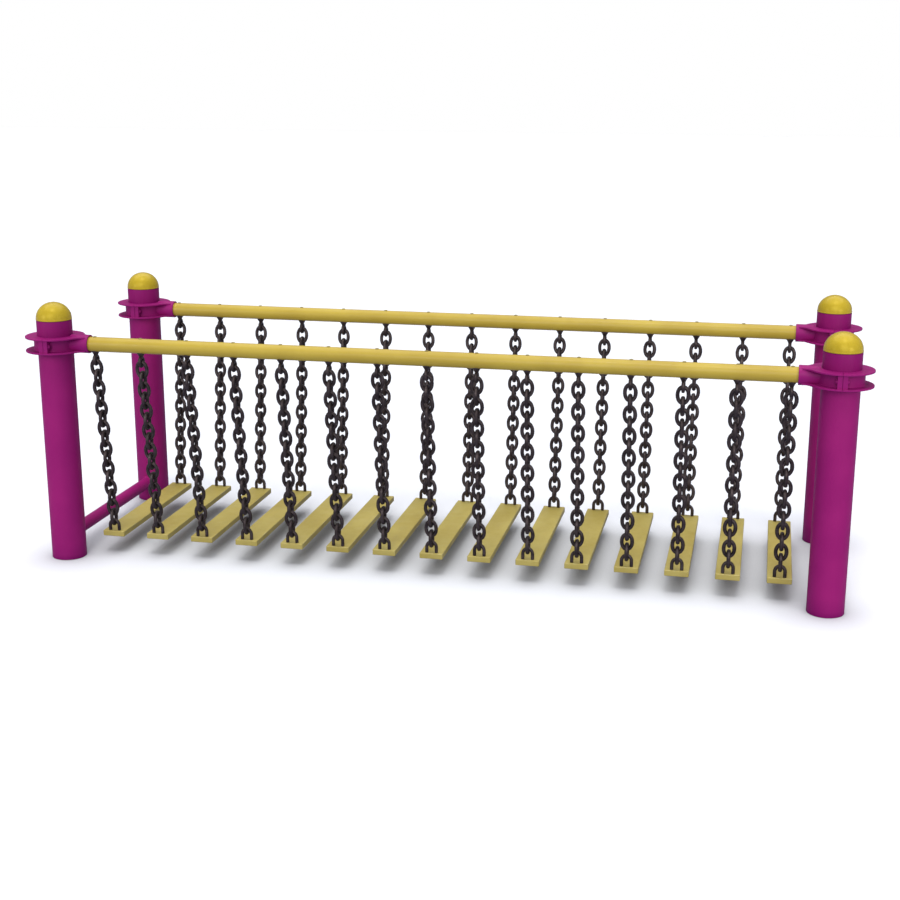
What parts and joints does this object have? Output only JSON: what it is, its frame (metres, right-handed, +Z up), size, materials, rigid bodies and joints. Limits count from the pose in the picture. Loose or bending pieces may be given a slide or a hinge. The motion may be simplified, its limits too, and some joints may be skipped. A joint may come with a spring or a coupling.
{
  "type": "playground chain footbridge",
  "caption": "Playground footbridge with planks hung on chains from two hand rails, which clamps hold to round posts with dome caps.",
  "frame": {"origin": "on the ground, in the middle of the bridge", "axes": "+X along the bridge, +Y across it from the front rail to the back rail, +Z up"},
  "size_m": [2.682, 0.902, 0.8658],
  "materials": {
    "post_paint": "glossy powder coat",
    "clamp_paint": "powder coat over a casting",
    "rail_paint": "glossy powder coat",
    "cap_plastic": "glossy",
    "plank_coat": "satin",
    "chain_steel": "dark, satin"
  },
  "bodies": {
    "frame": {"end_frame_left": "post_paint", "end_frame_right": "post_paint", "cap_front_left": "cap_plastic", "cap_back_left": "cap_plastic", "cap_front_right": "cap_plastic", "cap_back_right": "cap_plastic", "clamp_front_left": "clamp_paint", "clamp_back_left": "clamp_paint", "clamp_front_right": "clamp_paint", "clamp_back_right": "clamp_paint", "rail_front": "rail_paint", "rail_back": "rail_paint"},
    "swing_01": {"plank_01": "plank_coat", "chain_front_01": "chain_steel", "chain_back_01": "chain_steel"},
    "swing_02": {"plank_02": "plank_coat", "chain_front_02": "chain_steel", "chain_back_02": "chain_steel"},
    "swing_03": {"plank_03": "plank_coat", "chain_front_03": "chain_steel", "chain_back_03": "chain_steel"},
    "swing_04": {"plank_04": "plank_coat", "chain_front_04": "chain_steel", "chain_back_04": "chain_steel"},
    "swing_05": {"plank_05": "plank_coat", "chain_front_05": "chain_steel", "chain_back_05": "chain_steel"},
    "swing_06": {"plank_06": "plank_coat", "chain_front_06": "chain_steel", "chain_back_06": "chain_steel"},
    "swing_07": {"plank_07": "plank_coat", "chain_front_07": "chain_steel", "chain_back_07": "chain_steel"},
    "swing_08": {"plank_08": "plank_coat", "chain_front_08": "chain_steel", "chain_back_08": "chain_steel"},
    "swing_09": {"plank_09": "plank_coat", "chain_front_09": "chain_steel", "chain_back_09": "chain_steel"},
    "swing_10": {"plank_10": "plank_coat", "chain_front_10": "chain_steel", "chain_back_10": "chain_steel"},
    "swing_11": {"plank_11": "plank_coat", "chain_front_11": "chain_steel", "chain_back_11": "chain_steel"},
    "swing_12": {"plank_12": "plank_coat", "chain_front_12": "chain_steel", "chain_back_12": "chain_steel"},
    "swing_13": {"plank_13": "plank_coat", "chain_front_13": "chain_steel", "chain_back_13": "chain_steel"},
    "swing_14": {"plank_14": "plank_coat", "chain_front_14": "chain_steel", "chain_back_14": "chain_steel"},
    "swing_15": {"plank_15": "plank_coat", "chain_front_15": "chain_steel", "chain_back_15": "chain_steel"}
  },
  "joints": [
    {"name": "plank_01_swing", "type": "hinge", "parent": "frame", "child": "swing_01", "pos_m": [-1.106, 0, 0.6665], "axis": [0, 1, 0], "range_deg": [-7, 7]},
    {"name": "plank_02_swing", "type": "hinge", "parent": "frame", "child": "swing_02", "pos_m": [-0.948, 0, 0.6665], "axis": [0, 1, 0], "range_deg": [-7, 7]},
    {"name": "plank_03_swing", "type": "hinge", "parent": "frame", "child": "swing_03", "pos_m": [-0.79, 0, 0.6665], "axis": [0, 1, 0], "range_deg": [-7, 7]},
    {"name": "plank_04_swing", "type": "hinge", "parent": "frame", "child": "swing_04", "pos_m": [-0.632, 0, 0.6665], "axis": [0, 1, 0], "range_deg": [-7, 7]},
    {"name": "plank_05_swing", "type": "hinge", "parent": "frame", "child": "swing_05", "pos_m": [-0.474, 0, 0.6665], "axis": [0, 1, 0], "range_deg": [-7, 7]},
    {"name": "plank_06_swing", "type": "hinge", "parent": "frame", "child": "swing_06", "pos_m": [-0.316, 0, 0.6665], "axis": [0, 1, 0], "range_deg": [-7, 7]},
    {"name": "plank_07_swing", "type": "hinge", "parent": "frame", "child": "swing_07", "pos_m": [-0.158, 0, 0.6665], "axis": [0, 1, 0], "range_deg": [-7, 7]},
    {"name": "plank_08_swing", "type": "hinge", "parent": "frame", "child": "swing_08", "pos_m": [0, 0, 0.6665], "axis": [0, 1, 0], "range_deg": [-7, 7]},
    {"name": "plank_09_swing", "type": "hinge", "parent": "frame", "child": "swing_09", "pos_m": [0.158, 0, 0.6665], "axis": [0, 1, 0], "range_deg": [-7, 7]},
    {"name": "plank_10_swing", "type": "hinge", "parent": "frame", "child": "swing_10", "pos_m": [0.316, 0, 0.6665], "axis": [0, 1, 0], "range_deg": [-7, 7]},
    {"name": "plank_11_swing", "type": "hinge", "parent": "frame", "child": "swing_11", "pos_m": [0.474, 0, 0.6665], "axis": [0, 1, 0], "range_deg": [-7, 7]},
    {"name": "plank_12_swing", "type": "hinge", "parent": "frame", "child": "swing_12", "pos_m": [0.632, 0, 0.6665], "axis": [0, 1, 0], "range_deg": [-7, 7]},
    {"name": "plank_13_swing", "type": "hinge", "parent": "frame", "child": "swing_13", "pos_m": [0.79, 0, 0.6665], "axis": [0, 1, 0], "range_deg": [-7, 7]},
    {"name": "plank_14_swing", "type": "hinge", "parent": "frame", "child": "swing_14", "pos_m": [0.948, 0, 0.6665], "axis": [0, 1, 0], "range_deg": [-7, 7]},
    {"name": "plank_15_swing", "type": "hinge", "parent": "frame", "child": "swing_15", "pos_m": [1.106, 0, 0.6665], "axis": [0, 1, 0], "range_deg": [-7, 7]}
  ]
}
